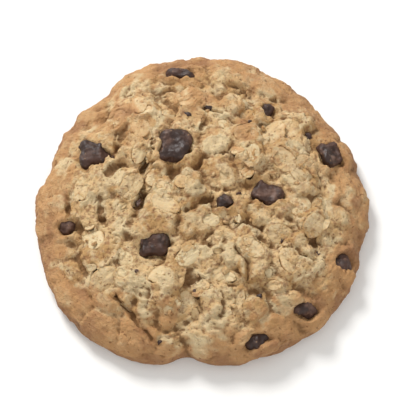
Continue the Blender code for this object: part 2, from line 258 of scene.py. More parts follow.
# Crumbs and chips: dents are how fine and how deep on a ball of radius 1
BALL_SUBDIVISIONS = 3
CRUMB_HEIGHT = (0.5, 0.8)  # of the half length
CRUMB_DENTS = (1.2, 0.5)
CHIP_DENTS = (0.9, 0.8)
CHIP_PROUD = 0.25 * MM

# Roughness, how much finer each layer is, and how many layers, of the unevenness of small things
EDGE_LAYERS = (0.6, 2.2, 3)
SKIN_LAYERS = (0.7, 2.2, 3)
DENT_LAYERS = (0.8, 2.0, 3)
DRAWN_FAR = 50  # each reads the noise up to this far off, so that no two are alike

# How the dough lies about a piece in it: a hole under it, a lap over it and a collar round it. Edges, starts
# and ends are spans of the way out from the piece's middle, with 1 on its outline.
Bed = namedtuple("Bed", "depth hole_edge lap_most lap_edge collar_limits collar_start collar_end")
FLAKE_BED = Bed(
    0.5 * MM, (0.8, 1.0), 1.0 * MM, (0.95, 1.35), (0, 1.6 * MM), (0.82, 0.96), (1.05, 1.5)
)
CHOCOLATE_BED = Bed(
    2.2 * MM, (0.80, 0.94), 1.6 * MM, (0.95, 1.65), (-0.2 * MM, 0.6 * MM), (0.88, 1.0), (1.0, 1.6)
)
BED_REACH = 1.5
SPARE_REACH = 1 * MM
FLAKE_LAP_FROM = (-0.15, 0.85)
FLAKE_LAP_SLOPE = 0.16
FLAKE_LAP_FRAY = (1.5 * MM, 0.7)  # size and how much
FLAKE_LAP_LEVEL = 0.14 * MM
FLAKE_COLLAR_LEVEL = -0.2 * MM
CHUNK_SQUARENESS = 4.0
DROP_SQUARENESS = 2.2
BED_NOISE_SIZES = (3.0 * MM, 0.8 * MM, 5.0 * MM)  # uneven, fine and wide
HOLE_FRAY = (0.25, 0.08)  # by the uneven noise and by the fine one
WIDE_FRAY = 0.9
LAP_FRAY = (0.45, 0.2)
LAP_SLOPE = 0.22
LAP_LEVEL = (0.25, 0.6, 0.3)  # mm: even, by the uneven noise and by the fine one
COLLAR_SHARE = 0.85  # how far down the shown chocolate the dough's collar ends
COLLAR_UNEVEN = 1.6 * MM
LIP_EDGE = (1.1, 1.5)

# The chocolate itself
CHOCOLATE_VOXEL = 0.26 * MM
MELTED = (0.5, 14)  # how much it is softened in a round, and rounds
CHOCOLATE_DENTS = ((3.4, 0.9), (1.4, 0.4), (0.6, 0.16))  # width and depth in mm
CHOCOLATE_SHRUNK = 0.1  # mm

# Chips of chocolate, too small for solids: place in radii, length and width in mm
CHOCOLATE_CHIPS = (
    ((-0.645, 0.505), (2.2, 1.5)),
    ((-0.37, -0.03), (1.6, 1.3)),
    ((-0.365, -0.455), (1.8, 1.0)),
    ((-0.60, -0.48), (1.4, 0.9)),
    ((-0.075, 0.53), (2.6, 1.7)),
    ((-0.545, 0.27), (2.0, 1.3)),
    ((0.055, 0.575), (2.2, 0.9)),
    ((-0.045, -0.64), (1.7, 1.0)),
    ((-0.24, -0.87), (1.5, 1.1)),
    ((0.22, 0.02), (1.5, 1.1)),
    ((0.16, -0.26), (1.9, 1.3)),
    ((0.48, -0.26), (2.3, 1.4)),
    ((0.70, -0.34), (1.6, 1.1)),
    ((0.30, 0.50), (1.7, 1.2)),
    ((0.66, 0.44), (2.0, 1.2)),
    ((0.34, -0.62), (1.6, 1.2)),
)

# Colours, sRGB
GOLDEN_DOUGH = "#CBAB7C"
TAN_DOUGH = "#B08A59"
PALE_DOUGH = "#CBB58E"
PALE_OAT = "#CCB891"
CARAMEL_CRUST = "#B28658"
DARK_CRUST = "#84583A"
# painted shade: the dark brown that the dough's narrow and wide hollows are darkened with
HOLLOW_SHADE_BROWN = "#7A5733"
BRAN_FLECK = "#6B4322"
DARK_CHOCOLATE = "#2F1D16"
BROKEN_CHOCOLATE = "#452C21"
BLOOM = "#75594B"
FLOOR_WHITE = "#F1F0ED"

# The picture
CAMERA_ELEVATION = 66
CAMERA_DISTANCE = 0.46
COOKIE_SHARE_OF_WIDTH = 0.84
SENSOR = 36
NEAREST_SEEN = 0.01
KEY_LIGHT = ((-0.30, 0.50, 0.50), 0.30, 5.7)  # place, width and power
FILL_LIGHT = ((0.30, -0.70, 0.60), 0.8, 2.0)
ROOM_LIGHT = 0.67
FLOOR_REACH = 3.0
FLOOR_DROP = 0.05 * MM  # so that the cookie's base and the floor don't coincide


def smoothstep(low, high, value):
    part = min(max((value - low) / (high - low), 0.0), 1.0)
    return part * part * (3 - 2 * part)


def smoothsteps(low, high, values):
    part = np.clip((values - low) / (high - low), 0.0, 1.0)
    return part * part * (3 - 2 * part)


def heading(angle):
    """The level direction at an angle."""
    return Vector((math.cos(angle), math.sin(angle), 0))


# ---------------------------------------------------------------- the dough's form


def half_section():
    """The section from the middle of the top to the middle of the base: the share of the surface that lies
    above each point, with the base counted thinner, then radius share, height, and the outward normal."""
    turn = np.linspace(0, math.pi / 2, PROFILE_STEPS)
    top_radius = np.sin(turn) ** (2 / TOP_FLATNESS)
    top_height = WIDEST_HEIGHT + (CENTRE_HEIGHT - WIDEST_HEIGHT) * np.cos(turn)
    inset = BASE_INSET / (DIAMETER / 2)
    under_radius = 1 - inset * (1 - np.cos(turn[1:]))
    under_height = WIDEST_HEIGHT * (1 - np.sin(turn[1:]))
    base_radius = np.linspace(1 - inset, 0, PROFILE_STEPS)[1:]
    radius = np.concatenate((top_radius, under_radius, base_radius))
    height = np.concatenate((top_height, under_height, np.zeros(len(base_radius))))

    along_r = np.gradient(radius * DIAMETER / 2)
    along_z = np.gradient(height)
    length = np.hypot(along_r, along_z)
    normal_r = -along_z / length
    normal_z = along_r / length

    density = np.where(np.arange(len(radius)) < len(radius) - len(base_radius), 1.0, BASE_DENSITY)
    step = np.hypot(np.diff(radius * DIAMETER / 2), np.diff(height))
    strip = step * (radius[1:] + radius[:-1]) / 2 * (density[1:] + density[:-1]) / 2
    share = np.concatenate(([0.0], np.cumsum(strip)))
    return share / share[-1], radius, height, normal_r, normal_z


SECTION_SHARE, *SECTION = half_section()
SECTION_RADIUS = SECTION[0]
WIDEST_SHARE = SECTION_SHARE[PROFILE_STEPS - 1]


def outline_radius(angle):
    """The distance from the middle to the edge in one direction."""
    radius = DIAMETER / 2
    for waves, height, crest in OUTLINE_WAVES:
        radius += DIAMETER / 2 * height * math.cos(waves * (angle - math.radians(crest)))
    radius += EDGE_CRAG_DEPTH * noise.noise(heading(angle) * (DIAMETER / 2 / EDGE_CRAG_SIZE))
    for degrees, width, depth in NOTCHES:
        away = math.remainder(angle - math.radians(degrees), 2 * math.pi) * DIAMETER / 2
        radius -= depth * math.exp(-((2 * away / width) ** 2))
    return radius


def big_lump(point):
    """The height of the big lump at a point of the top, and how much of the point it takes up."""
    height = 0.0
    taken = 0.0
    for (x, y), (length, width), turn, rise in BIG_LUMPS:
        away = point.xy - Vector((x, y)) * DIAMETER / 2
        ahead = heading(math.radians(turn))
        along = away.dot(ahead.xy)
        across = away.dot(Vector((-ahead.y, ahead.x)))
        out = math.hypot(2 * along / (length * MM), 2 * across / (width * MM))
        if out < BIG_LUMP_REACH:
            cover = math.exp(-(out**BIG_LUMP_STEEPNESS))
            height = max(height, rise * MM * cover)
            taken = max(taken, cover)
    return height, taken


def relief(point, radius_share):
    """How far the dough stands out at a point of the smooth cookie: swells, lumps and their creases."""
    swell = SWELL_DEPTH * noise.noise(point / SWELL_SIZE)
    distances, middles = noise.voronoi(point / LUMP_SIZE)
    lump_height = LUMP_LEVEL + LUMP_SPREAD * noise.noise(middles[0] * LUMP_DRAW)
    lump = LUMP_DEPTH * (lump_height * smoothstep(0, CREASE, distances[1] - distances[0]) - LUMP_ZERO)
    big, taken = big_lump(point)
    calm = 1 - RIM_CALM * smoothstep(*CALM_SPAN, radius_share)
    return (swell + lump * (1 - taken) + big) * calm * smoothstep(FLAT_BELOW, FULL_ABOVE, point.z)


def smooth_point(share, angle):
    """A point of the cookie before its relief, the way out of it, and its share of the radius."""
    radius_share, height, out, up = (float(np.interp(share, SECTION_SHARE, column)) for column in SECTION)
    around = heading(angle)
    point = around * radius_share * outline_radius(angle) + Vector((0, 0, height))
    return point, around * out + Vector((0, 0, up)), radius_share


def dough_point(share, angle):
    """The point of the dough's surface that has this share of the surface above it, in one direction."""
    point, normal, radius_share = smooth_point(share, angle)
    return point + normal * relief(point, radius_share)


def share_at(radius_share):
    """The share of the surface above the ring of the upper side at this share of the radius."""
    return float(np.interp(radius_share, SECTION_RADIUS[:PROFILE_STEPS], SECTION_SHARE[:PROFILE_STEPS]))


def radius_at(share):
    """The share of the radius at the ring with this share of the surface above it."""
    return float(np.interp(share, SECTION_SHARE, SECTION_RADIUS))


def dough_over(x, y):
    """The point of the dough's upper side at a place in its plan, in radii."""
    return dough_point(share_at(math.hypot(x, y)), math.atan2(y, x))


def share_and_angle(direction):
    """Where a point of a unit ball goes on the cookie."""
    return (1 - direction.z) / 2, math.atan2(direction.y, direction.x)


def solid_form():
    """The dough as the solids have it, before flakes, for seating pieces as they are seated there."""
    builder = bmesh.new()
    bmesh.ops.create_icosphere(builder, subdivisions=CORE_SUBDIVISIONS, radius=1.0)
    for vertex in builder.verts:
        vertex.co = dough_point(*share_and_angle(vertex.co))
    builder.normal_update()
    tree = BVHTree.FromBMesh(builder)
    builder.free()
    return tree


def seat(tree, place):
    """The mean slope of the dough about a place on it."""
    normal = Vector((0, 0, 0))
    for _, face_normal, _, _ in tree.find_nearest_range(place, SEAT_REACH):
        normal += face_normal
    return normal.normalized()


def laid(place, normal, turn, tip=0.0, tip_towards=0.0):
    """The matrix that lays a piece on the dough, turned about the slope's normal and tipped to one side."""
    slope = Vector((0, 0, 1)).rotation_difference(normal).to_matrix().to_4x4()
    tipped = Matrix.Rotation(tip, 4, heading(tip_towards))
    return Matrix.Translation(place) @ slope @ tipped @ Matrix.Rotation(turn, 4, "Z")


# ---------------------------------------------------------------- where things lie


Flake = namedtuple("Flake", "half_length half_width top radius_share")  # top is its upper middle's matrix


def chocolate_places(tree):
    """Each piece of chocolate: its node, size, how far it shows, place, and its upper middle's matrix."""
    found = []
    for name, (middle, size_mm, turn, shows_mm, _) in CHOCOLATE.items():
        place = dough_over(*middle)
        normal = seat(tree, place)
        top = laid(place + normal * shows_mm * MM, normal, math.radians(turn))
        found.append((name, Vector(size_mm) * MM, shows_mm * MM, place, top))
    return found


def too_near(place, half_length, chocolate, share):
    """Whether a flake or crumb would reach into a piece of chocolate, taken as a share of its larger side."""
    gaps = ((place - other).length - max(size.x, size.y) * share for _, size, _, other, _ in chocolate)
    return any(gap < half_length for gap in gaps)


def drawn_flake(draw, lengths, width_shares, widest_turn, tip_degrees):
    """A flake's half length and half width, and its turn, its tip and the way that it tips."""
    length = draw.uniform(*lengths)
    width = length * draw.uniform(*width_shares)
    turn = draw.uniform(0, widest_turn)
    tip = math.radians(tip_degrees) * draw.uniform(-1, 1)
    return length / 2, width / 2, (turn, tip, draw.uniform(0, 2 * math.pi))


def flake_places(tree, chocolate):
    """The flakes that the solids have."""
    draw = random.Random(SEED)
    found = []
    for index in range(FLAKE_COUNT):
        share = (index + 0.5) / FLAKE_COUNT * WIDEST_SHARE
        angle = index * GOLDEN_ANGLE + draw.uniform(-FLAKE_SHIFT, FLAKE_SHIFT)
        half_length, half_width, turns = drawn_flake(
            draw, FLAKE_LENGTH, FLAKE_WIDTH_SHARE, math.pi, FLAKE_TIP_DEGREES
        )
        place = dough_point(share, angle)
        if too_near(place, half_length, chocolate, FLAKE_OFF_CHOCOLATE):
            continue
        normal = seat(tree, place)
        top = laid(place + normal * FLAKE_PROUD, normal, *turns)
        if top.translation.z - half_length * math.hypot(normal.x, normal.y) > BASE_CLEARANCE:
            found.append(Flake(half_length, half_width, top, radius_at(share)))
    return found


def scattered_places(tree, chocolate, count, seed, lengths, proud, tip_degrees, off_chocolate):
    """More flakes or crumbs, spread by the golden angle and shaken."""
    draw = random.Random(seed)
    found = []
    for index in range(count):
        share = (index + draw.uniform(*SCATTER_SHAKE)) / count * WIDEST_SHARE * SCATTER_REACH
        angle = index * GOLDEN_ANGLE + draw.uniform(-SCATTER_SHIFT, SCATTER_SHIFT)
        half_length, half_width, turns = drawn_flake(
            draw, lengths, SCATTER_WIDTH_SHARE, 2 * math.pi, tip_degrees
        )
        rise = draw.uniform(*proud)
        place = dough_point(share, angle)
        if too_near(place, half_length, chocolate, off_chocolate) or place.z - half_length <= BASE_CLEARANCE:
            continue
        normal = seat(tree, place)
        top = laid(place + normal * rise, normal, *turns)
        found.append(Flake(half_length, half_width, top, radius_at(share)))
    return found


# ---------------------------------------------------------------- the fine dough


def blown_up_cube():
    """A ball with even square faces: a cube blown up, its cuts spaced so that the faces come out alike."""
    builder = bmesh.new()
    bmesh.ops.create_cube(builder, size=2.0)
    bmesh.ops.subdivide_edges(builder, edges=builder.edges[:], cuts=DOUGH_CUTS, use_grid_fill=True)
    for vertex in builder.verts:
        vertex.co = Vector(math.tan(along * math.pi / 4) for along in vertex.co).normalized()
    return builder


def vertex_normals(mesh):
    normals = np.empty(len(mesh.vertices) * 3, dtype=np.float32)
    mesh.vertex_normals.foreach_get("vector", normals)
    return normals.reshape(-1, 3).astype(np.float64)


def put_points(mesh, points):
    mesh.vertices.foreach_set("co", points.astype(np.float32).ravel())
    mesh.update()


def crack_distance(point, line):
    """How far a point of the plan is from a crack's line."""
    nearest = math.inf
    for start, end in zip(line[:-1], line[1:]):
        along = end - start
        part = min(max((point - start).dot(along) / along.length_squared, 0.0), 1.0)
        nearest = min(nearest, (point - start - along * part).length)
    return nearest


def crack_lines():
    radius = DIAMETER / 2
    return [([Vector(place) * radius for place in places], width, depth) for places, width, depth in CRACKS]


def grain(point, brown):
    """The crumb's grain at one point of the smooth cookie, less where it browned."""
    rough = GRAIN_DEPTH * noise.fractal(point / GRAIN_SIZE, *GRAIN_LAYERS) * (1 - GRAIN_LOST * brown)
    return rough * smoothstep(FLAT_BELOW, FULL_ABOVE, point.z)


def strayed(point):
    """A noise for each axis at one point, always the same."""
    return Vector([noise.noise(point + Vector(start)) for start in WARP_STARTS])


def fine_relief(point, brown, cracks):
    """Knobs, gaps, cracks and pits of the dough at one point of the smooth cookie, less where it browned."""
    warp = strayed(point / WARP_SIZE) * WARP_DEPTH
    knob = KNOB_DEPTH * (KNOB_LEVEL - noise.voronoi(point / KNOB_SIZE + warp)[0][0])
    stray = noise.noise(point / STRAY_SIZE)
    broad = noise.noise(point / BROAD_STRAY_SIZE + Vector(BROAD_STRAY_START))
    distances, _ = noise.voronoi(point / LUMP_SIZE)
    between = distances[1] - distances[0] + GAP_WANDER * stray
    _, taken = big_lump(point)
    taken += (MOAT_WANDER[0] * stray + MOAT_WANDER[1] * broad) * taken * (1 - taken)
    open_here = smoothstep(*GAP_RUN_SPAN, noise.noise(point / GAP_RUN + Vector(GAP_RUN_START)))
    gap = -GAP_DEPTH * (1 - taken) * (1 - smoothstep(0.0, GAP_WIDTH, between))
    moat = -MOAT_DEPTH * math.exp(-(((taken - MOAT_AT) / MOAT_WIDTH) ** 2)) if taken > MOAT_LEAST else 0.0
    distances, middles = noise.voronoi(point / PIT_SIZE + warp * PIT_WARP)
    holed = smoothstep(*PIT_DRAWN, noise.noise(middles[0] * PIT_DRAW))
    pit = -PIT_DEPTH * holed * (1 - smoothstep(*PIT_EDGE, distances[0]))
    total = knob * (1 - KNOBS_LOST * brown)
    total += (gap + moat) * open_here * (1 - GAPS_LOST * brown)
    total += pit * (1 - PITS_LOST * brown)
    if point.z > WIDEST_HEIGHT:
        plan = point.xy
        wobble = noise.noise(point / CRACK_WOBBLE_SIZE) * CRACK_WOBBLE
        for line, width, depth in cracks:
            away = crack_distance(plan, line) + wobble
            total -= depth * (1 - smoothstep(width * CRACK_SIDES[0], width * CRACK_SIDES[1], away))
    return total * smoothstep(FLAT_BELOW, FULL_ABOVE, point.z)


def near(places, centre, reach):
    """The numbers of the mesh points within reach of a place."""
    return np.array([index for _, index, _ in places.find_range(centre, reach)], dtype=int)


def in_frame(points, matrix):
    turn = np.array(matrix.to_3x3())
    return (points - np.array(matrix.translation)) @ turn


def out_of_frame(local, matrix):
    turn = np.array(matrix.to_3x3())
    return local @ turn.T + np.array(matrix.translation)


def oval(local, half_length, half_width, power=2.0):
    """How far out of an oval each point lies: 1 on its edge."""
    length = np.abs(local[:, 0] / half_length) ** power
    width = np.abs(local[:, 1] / half_width) ** power
    return (length + width) ** (1 / power)


def shaken(points, size):
    """Noise at each point, from about -0.6 to 0.6, in spots of about this size."""
    return np.array([noise.noise(Vector(point) / size) for point in points])


def browned_at(points):
    """How far the skin browned at each point: the rim in a band of uneven width, and patches of the top."""
    radius = DIAMETER / 2
    fray = shaken(points, BROWNING_FRAY_SIZE)
    out = np.hypot(points[:, 0], points[:, 1]) / radius
    brown = smoothsteps(*RIM_SPAN, out + RIM_WANDER * shaken(points, RIM_WANDER_SIZE) + RIM_FRAY * fray)
    for (x, y), (length, width), most in TOASTED_PATCHES:
        out = oval(points - np.array((x * radius, y * radius, 0)), length / 2 * MM, width / 2 * MM) + fray
        brown = np.maximum(brown, most * (1 - smoothsteps(*PATCH_EDGE, out)))
    return brown


def bury_flakes(points, places, flakes, oats, brown):
    """Raises the dough over flakes that lie just under its skin, with a groove along each, and marks them."""
    draw = random.Random(BURIED_SEED)
    groove_width, groove_depth = BURIED_GROOVE
    for half_length, half_width, top, _ in flakes:
        cup = draw.uniform(*BURIED_CUP)
        phase = draw.uniform(0, 2 * math.pi)
        strength = draw.uniform(*BURIED_STRENGTH)
        under_crust = draw.uniform(*BURIED_STRENGTH)
        found = near(places, top.translation, half_length * BURIED_REACH + SPARE_REACH)
        local = in_frame(points[found], top)
        around = np.arctan2(local[:, 1], local[:, 0])
        (few, few_height), (many, many_height) = BURIED_LOBES
        out = oval(local, half_length, half_width)
        out = out + few_height * np.sin(few * around + phase) + many_height * np.sin(many * around)
        groove = groove_depth * np.exp(-((local[:, 1] / groove_width) ** 2))
        level = -cup * BURIED_CUP_DEPTH * out**2 - groove
        edge = 1 - smoothsteps(*BURIED_EDGE, out)
        raised = np.clip(level - local[:, 2], 0, BURIED_MOST) * edge * (1 - under_crust * brown[found])
        local[:, 2] += raised
        points[found] = out_of_frame(local, top)
        marks = strength * smoothsteps(*PALER_WHERE_RAISED, raised) * (1 - smoothsteps(*PALER_EDGE, out))
        oats[found] = np.maximum(oats[found], marks)


def bedded(height, out, far, lapped, lap_level, collar_level, bed):
    """The dough's heights about a piece in it, by how far out of the piece's middle its points are."""
    under = np.minimum(height, -bed.depth) - height
    height = height + under * (1 - smoothsteps(*bed.hole_edge, out)) * (1 - lapped)
    over = np.clip(lap_level - height, 0, bed.lap_most)
    height = height + over * lapped * (1 - smoothsteps(*bed.lap_edge, far))
    ring = smoothsteps(*bed.collar_start, out) * (1 - smoothsteps(*bed.collar_end, far)) * (1 - lapped)
    return height + np.clip(collar_level - height, *bed.collar_limits) * ring


def bed_flakes(points, places, flakes):
    """Lowers the dough under each loose flake, draws it up to the flake's edge and laps it over one side."""
    draw = random.Random(BED_SEED)
    fray_size, fray = FLAKE_LAP_FRAY
    for half_length, half_width, top, _ in flakes:
        towards = draw.uniform(0, 2 * math.pi)
        lap_from = draw.uniform(*FLAKE_LAP_FROM)
        found = near(places, top.translation, half_length * BED_REACH + SPARE_REACH)
        local = in_frame(points[found], top)
        out = oval(local, half_length, half_width)
        side = (local[:, 0] * math.cos(towards) + local[:, 1] * math.sin(towards)) / half_length
        side = side + fray * shaken(points[found], fray_size)
        lapped = smoothsteps(lap_from, lap_from + FLAKE_LAP_SLOPE, side)
        local[:, 2] = bedded(local[:, 2], out, out, lapped, FLAKE_LAP_LEVEL, FLAKE_COLLAR_LEVEL, FLAKE_BED)
        points[found] = out_of_frame(local, top)


def bed_chocolate(points, places, chocolate, lips):
    """Lowers the dough under each piece of chocolate, draws it up round its sides, laps it over in places and
    marks the lips that this makes."""
    even_level, uneven_level, fine_level = LAP_LEVEL
    for name, size, shows, _, top in chocolate:
        power = CHUNK_SQUARENESS if name.startswith("chunk") else DROP_SQUARENESS
        found = near(places, top.translation, max(size.x, size.y))
        local = in_frame(points[found], top)
        uneven, fine, wide = (shaken(points[found], spot) for spot in BED_NOISE_SIZES)
        out = oval(local, size.x / 2, size.y / 2, power) + HOLE_FRAY[0] * uneven + HOLE_FRAY[1] * fine
        far = out + WIDE_FRAY * wide
        lapped = np.zeros(len(found))
        for degrees, start in CHOCOLATE[name][-1]:
            turn = math.radians(degrees)
            side = local[:, 0] / size.x * 2 * math.cos(turn) + local[:, 1] / size.y * 2 * math.sin(turn)
            side = side + LAP_FRAY[0] * uneven + LAP_FRAY[1] * fine
            lapped = np.maximum(lapped, smoothsteps(start, start + LAP_SLOPE, side))
        lap_level = (even_level + uneven_level * uneven + fine_level * fine) * MM
        collar_level = -shows * COLLAR_SHARE + COLLAR_UNEVEN * np.maximum(uneven, 0)
        local[:, 2] = bedded(local[:, 2], out, far, lapped, lap_level, collar_level, CHOCOLATE_BED)
        points[found] = out_of_frame(local, top)
        lips[found] = np.maximum(lips[found], 1 - smoothsteps(*LIP_EDGE, out))


def evened(values, edges, rounds):
    """Rows of values on mesh points, evened out over their neighbours."""
    count = len(values)
    neighbours = np.bincount(edges.ravel(), minlength=count)
    rows = values.reshape(count, -1).copy()
    for _ in range(rounds):
        for column in range(rows.shape[1]):
            row = rows[:, column]
            total = np.bincount(edges[:, 0], weights=row[edges[:, 1]], minlength=count)
            total += np.bincount(edges[:, 1], weights=row[edges[:, 0]], minlength=count)
            rows[:, column] = (row + total / neighbours) / 2
    return rows.reshape(values.shape)


def mark(mesh, name, values):
    """Keeps a number or a vector for each point of a mesh, for its finish to read."""
    kind, field = ("FLOAT_VECTOR", "vector") if np.ndim(values) == 2 else ("FLOAT", "value")
    layer = mesh.attributes.new(name, kind, "POINT")
    layer.data.foreach_set(field, np.asarray(values, dtype=np.float32).ravel())


def fine_dough(buried, loose, chocolate):
    """The dough's mesh with all its relief, and marks for oats, browning, and hollows, which its finish
    darkens as painted shade.
    """
    builder = blown_up_cube()
    directions = [share_and_angle(vertex.co) for vertex in builder.verts]
    mesh = bpy.data.meshes.new("cookie_dough")
    builder.to_mesh(mesh)
    builder.free()
    edges = np.empty(len(mesh.edges) * 2, dtype=np.int32)
    mesh.edges.foreach_get("vertices", edges)
    edges = edges.reshape(-1, 2)

    smooth = [smooth_point(share, angle) for share, angle in directions]
    smooth_height = np.array([point.z for point, _, _ in smooth])
    formed = np.array([point + normal * relief(point, part) for point, normal, part in smooth])
    put_points(mesh, formed)
    normals = vertex_normals(mesh)
    cracks = crack_lines()
    brown = browned_at(formed)
    fine = np.array([fine_relief(point, share, cracks) for (point, _, _), share in zip(smooth, brown)])
    rough = np.array([grain(point, share) for (point, _, _), share in zip(smooth, brown)])

    places = KDTree(len(formed))
    for index, point in enumerate(formed):
        places.insert(point, index)
    places.balance()
    points = formed.copy()
    oats = np.zeros(len(points))
    bury_flakes(points, places, buried, oats, brown)
    points = evened(points, edges, FILM_ROUNDS)
    points = evened(points + normals * fine[:, None], edges, FILM_ROUNDS)
    bed_flakes(points, places, loose)
    lips = np.zeros(len(points))
    bed_chocolate(points, places, chocolate, lips)
    points += (evened(points, edges, LIP_ROUNDS) - points) * lips[:, None]
    points += normals * rough[:, None]
    on_base = smooth_height < FLAT_BELOW
    points[on_base] = formed[on_base]
    points[:, 2] = np.maximum(points[:, 2], 0)
    put_points(mesh, points)

    outward = vertex_normals(mesh)
    # how deep each point lies in a narrow or a wide hollow; the dough's finish paints shade there
    for name, rounds, depth in zip(("narrow_hollow", "wide_hollow"), HOLLOW_ROUNDS, HOLLOW_DEPTH):
        below = np.einsum("ij,ij->i", evened(points, edges, rounds) - points, outward)
        mark(mesh, name, np.clip(below / depth, -1, 1))
    mark(mesh, "oats", evened(oats, edges, FILM_ROUNDS))
    underneath = 1 - smoothsteps(*UNDERSIDE_HEIGHT, points[:, 2])
    scorched = SCORCH * (1 - smoothsteps(*SCORCH_HEIGHT, points[:, 2]))
    mark(mesh, "browning", np.maximum(brown, underneath) + scorched)
    mesh.shade_smooth()
    return mesh


# ---------------------------------------------------------------- small things


def into_scene(name, data):
    """An object with this mesh, lamp or lens, in the scene."""
    thing = bpy.data.objects.new(name, data)
    bpy.context.scene.collection.objects.link(thing)
    return thing


def ball_of(make_ball, **cuts):
    """The points and the faces of a ball of radius 1, put in order, because the order that the faces are made
    in can change from run to run."""
    builder = bmesh.new()
    make_ball(builder, radius=1.0, **cuts)
    vertices = sorted(builder.verts, key=lambda vertex: tuple(vertex.co))
    for number, vertex in enumerate(vertices):
        vertex.index = number
    points = np.array([vertex.co for vertex in vertices])
    faces = sorted([vertex.index for vertex in face.verts] for face in builder.faces)
    builder.free()
    return points, faces


def heaped(name, faces, heap):
    """One mesh of many balls that were each pressed into a shape: their points, and the marks on them."""
    count = len(heap[0]["points"])
    joined = {kind: np.concatenate([shape[kind] for shape in heap]) for kind in heap[0]}
    mesh = bpy.data.meshes.new(name)
    all_faces = [[index + start * count for index in face] for start in range(len(heap)) for face in faces]
    mesh.from_pydata(joined.pop("points"), [], all_faces)
    for kind, values in joined.items():
        mark(mesh, kind, values)
    mesh.shade_smooth()
    return mesh


def drawn_shift(draw):
    """Where in the noise a piece reads its unevenness."""
    return Vector((draw.uniform(0, DRAWN_FAR), draw.uniform(0, DRAWN_FAR), draw.uniform(0, DRAWN_FAR)))


def dented(ball, shift, dents):
    """How far out of its middle each of a dented ball's points is."""
    fineness, depth = dents
    dents = [depth * noise.fractal(Vector(point) * fineness + shift, *DENT_LAYERS) for point in ball]
    return (1 + np.array(dents))[:, None]


def rolled_oats(flakes):
    """Rolled oats: balls pressed to oval leaves with an uneven edge, a groove, a bend and a curl."""
    ball, faces = ball_of(bmesh.ops.create_uvsphere, u_segments=FLAKE_AROUND, v_segments=FLAKE_RINGS)
    draw = random.Random(OAT_SEED)
    angle = np.arctan2(ball[:, 1], ball[:, 0])
    out = np.hypot(ball[:, 0], ball[:, 1])
    heap = []
    plan_fullness, edge_fullness = FLAKE_FULLNESS
    fineness, raggedness = FLAKE_RAGGED
    split_width, split_depth = FLAKE_SPLIT
    groove_width, groove_depth = FLAKE_GROOVE
    skin_size, skin_depth = FLAKE_SKIN
    for half_length, half_width, top, _ in flakes:
        marks = {"tone": np.full(len(ball), draw.random()), "edge": out}
        bend = draw.uniform(-FLAKE_BEND, FLAKE_BEND) * half_length
        curl = draw.uniform(*FLAKE_CURL) * half_width
        twist = draw.uniform(-FLAKE_TWIST, FLAKE_TWIST) / half_length
        egg = draw.uniform(-FLAKE_EGG, FLAKE_EGG)
        phase = draw.uniform(0, 2 * math.pi)
        shift = drawn_shift(draw)
        thickness = FLAKE_THICKNESS * draw.uniform(*FLAKE_THICKNESS_SHARE)
        ragged = np.array([noise.fractal(heading(turn) * fineness + shift, *EDGE_LAYERS) for turn in angle])
        off_split = np.abs(np.remainder(angle - phase + math.pi, 2 * math.pi) - math.pi)
        split = np.exp(-((off_split / split_width) ** 2))
        edge = 1 + raggedness * ragged + FLAKE_SKEW * np.sin(2 * angle + phase) - split_depth * split
        x = np.cos(angle) * out**plan_fullness * edge * half_length
        y = np.sin(angle) * out**plan_fullness * edge * half_width * (1 + egg * x / half_length)
        z = np.copysign(np.abs(ball[:, 2]) ** edge_fullness, ball[:, 2]) * thickness / 2 - thickness / 2
        groove = groove_depth * np.exp(-((y / groove_width) ** 2)) * (1 - out**4)
        grown = [Vector((a, b * FLAKE_SKIN_STRETCH, 0)) / skin_size + shift for a, b in zip(x, y)]
        skin = np.array([noise.fractal(point, *SKIN_LAYERS) for point in grown])
        z += skin_depth * skin - np.where(ball[:, 2] > 0, groove, 0)
        z += bend * (x / half_length) ** 2 + curl * (y / half_width) ** 2 / 2 + twist * x * y
        marks["leaf"] = np.column_stack((x, y, np.zeros(len(x)))) / MM + np.array(shift)
        points = out_of_frame(np.column_stack((x, y, z)), top)
        heap.append({"points": points, "browning": browned_at(points), **marks})
    return heaped("rolled_oats", faces, heap)


def crumbs(places):
    """Crumbs of dough: dented little balls, half sunk."""
    ball, faces = ball_of(bmesh.ops.create_icosphere, subdivisions=BALL_SUBDIVISIONS)
    draw = random.Random(CRUMB_SEED)
    heap = []
    for half_length, half_width, top, _ in places:
        stretch = np.array((half_length, half_width, half_length * draw.uniform(*CRUMB_HEIGHT)))
        points = out_of_frame(ball * stretch * dented(ball, drawn_shift(draw), CRUMB_DENTS), top)
        draw.random()  # nothing reads it, but without it the crumbs after this one would change
        heap.append({"points": points, "browning": browned_at(points)})
    return heaped("dough_crumbs", faces, heap)


def chocolate_chips(tree):
    """Chips of chopped chocolate: dented little balls, pressed flat and sunk in the dough."""
    ball, faces = ball_of(bmesh.ops.create_icosphere, subdivisions=BALL_SUBDIVISIONS)
    draw = random.Random(CHIP_SEED)
    heap = []
    for middle, (length, width) in CHOCOLATE_CHIPS:
        place = dough_over(*middle)
        normal = seat(tree, place)
        turn = draw.uniform(0, math.pi)
        top = laid(place + normal * (CHIP_PROUD - width * MM / 2), normal, turn)
        stretch = np.array((length, width, width)) * MM / 2
        points = out_of_frame(ball * stretch * dented(ball, drawn_shift(draw), CHIP_DENTS), top)
        heap.append({"points": points})
    return heaped("chocolate_chips", faces, heap)


